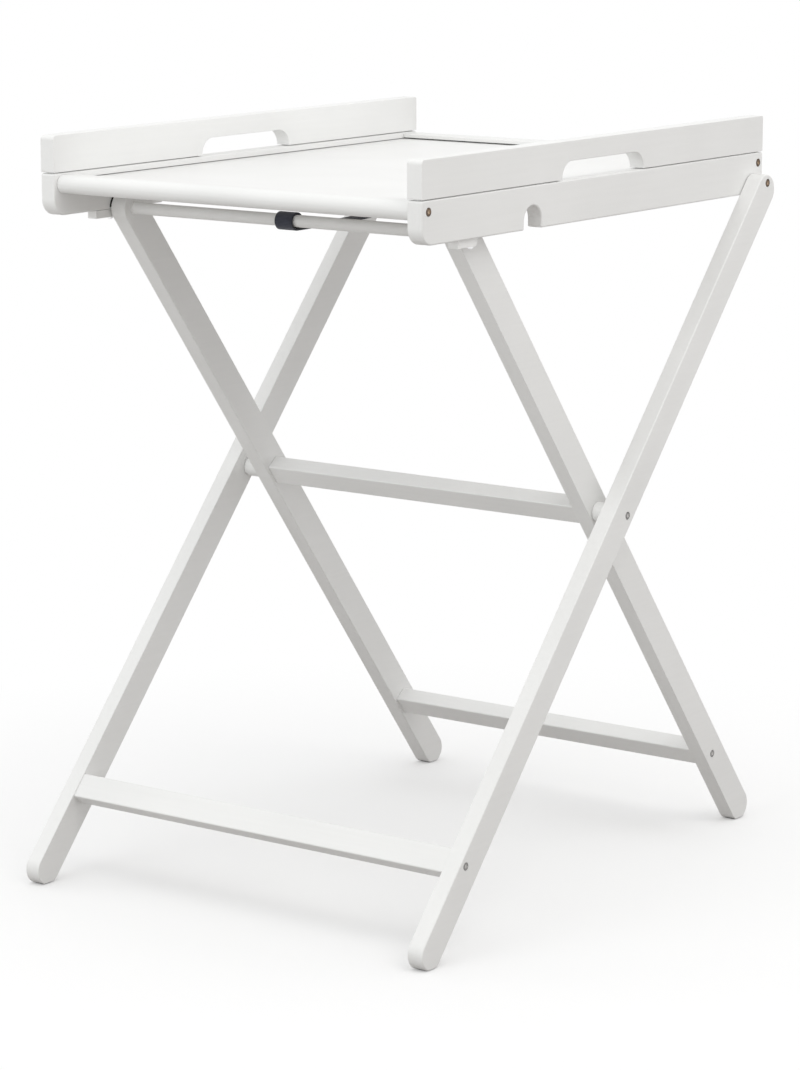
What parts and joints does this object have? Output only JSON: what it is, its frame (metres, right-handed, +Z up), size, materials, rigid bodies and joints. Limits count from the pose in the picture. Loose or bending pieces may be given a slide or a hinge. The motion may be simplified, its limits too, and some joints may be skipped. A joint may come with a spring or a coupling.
{
  "type": "folding changing table",
  "caption": "Folding changing table: crossed legs carry a tray with side and guard rails, a captured panel, hand holes and a strap to the top dowel.",
  "frame": {"origin": "on the floor, under the middle of the bounding box", "axes": "+X across the table to the right, +Y from the front to the rear, +Z up"},
  "size_m": [0.6178, 0.8093, 0.9423],
  "materials": {
    "white_lacquer": "satin white lacquer",
    "white_plastic": "moulded, slightly glossy",
    "bronzed_steel": "bronze plated",
    "zinc_steel": "zinc plated",
    "navy_webbing": "woven webbing",
    "grey_rubber": "matt"
  },
  "bodies": {
    "outer_frame": {"front_foot_bar": "white_lacquer", "front_foot_bolt_left": "zinc_steel", "front_foot_bolt_right": "zinc_steel", "front_foot_nut_left": "zinc_steel", "front_foot_nut_right": "zinc_steel", "front_glide_left": "grey_rubber", "front_glide_right": "grey_rubber", "outer_leg_left": "white_lacquer", "outer_leg_right": "white_lacquer"},
    "inner_frame": {"crossing_bolt_left": "zinc_steel", "crossing_bolt_right": "zinc_steel", "crossing_nut_left": "zinc_steel", "crossing_nut_right": "zinc_steel", "crossing_spacer_left": "white_lacquer", "crossing_spacer_right": "white_lacquer", "dowel_screw_left": "zinc_steel", "dowel_screw_right": "zinc_steel", "inner_leg_left": "white_lacquer", "inner_leg_right": "white_lacquer", "mid_crossbar": "white_lacquer", "rear_foot_bar": "white_lacquer", "rear_foot_bolt_left": "zinc_steel", "rear_foot_bolt_right": "zinc_steel", "rear_foot_nut_left": "zinc_steel", "rear_foot_nut_right": "zinc_steel", "rear_glide_left": "grey_rubber", "rear_glide_right": "grey_rubber", "slide_disc_left": "white_plastic", "slide_disc_right": "white_plastic", "support_dowel": "white_lacquer", "strap": "navy_webbing"},
    "tray": {"catch_screw_left": "zinc_steel", "catch_screw_right": "zinc_steel", "front_bar": "white_lacquer", "front_rail_bolt_left": "bronzed_steel", "front_rail_bolt_right": "bronzed_steel", "guard_rail_left": "white_lacquer", "guard_rail_right": "white_lacquer", "pivot_bolt_left": "bronzed_steel", "pivot_bolt_right": "bronzed_steel", "pivot_sleeve_left": "zinc_steel", "pivot_sleeve_right": "zinc_steel", "pivot_washer_left": "white_plastic", "pivot_washer_right": "white_plastic", "rear_bar": "white_lacquer", "rear_rail_bolt_left": "bronzed_steel", "rear_rail_bolt_right": "bronzed_steel", "rest_block_left": "white_lacquer", "rest_block_right": "white_lacquer", "rest_block_screw_left": "zinc_steel", "rest_block_screw_right": "zinc_steel", "side_rail_left": "white_lacquer", "side_rail_right": "white_lacquer", "strap_clamp_plate": "zinc_steel", "strap_clamp_screw_left": "zinc_steel", "strap_clamp_screw_right": "zinc_steel", "tray_panel": "white_lacquer"},
    "catch_left": {"catch_left": "white_plastic"},
    "catch_right": {"catch_right": "white_plastic"}
  },
  "joints": [
    {"name": "leg_fold", "type": "hinge", "parent": "outer_frame", "child": "inner_frame", "pos_m": [0, 0.02773, 0.47521], "axis": [-1, 0, 0], "range_deg": [0, 77], "deforming": ["strap"]},
    {"name": "tray_lift", "type": "hinge", "parent": "outer_frame", "child": "tray", "pos_m": [0, 0.35211, 0.85863], "axis": [-1, 0, 0], "range_deg": [0, 38.5]},
    {"name": "catch_turn_left", "type": "hinge", "parent": "tray", "child": "catch_left", "pos_m": [-0.2733, -0.26106, 0.83878], "axis": [0, 0, -1], "range_deg": [0, 90]},
    {"name": "catch_turn_right", "type": "hinge", "parent": "tray", "child": "catch_right", "pos_m": [0.2733, -0.26106, 0.83878], "axis": [0, 0, 1], "range_deg": [0, 90]}
  ],
  "couplings": [
    {"joint": "tray_lift", "follows": "leg_fold", "ratio": 0.5}
  ]
}
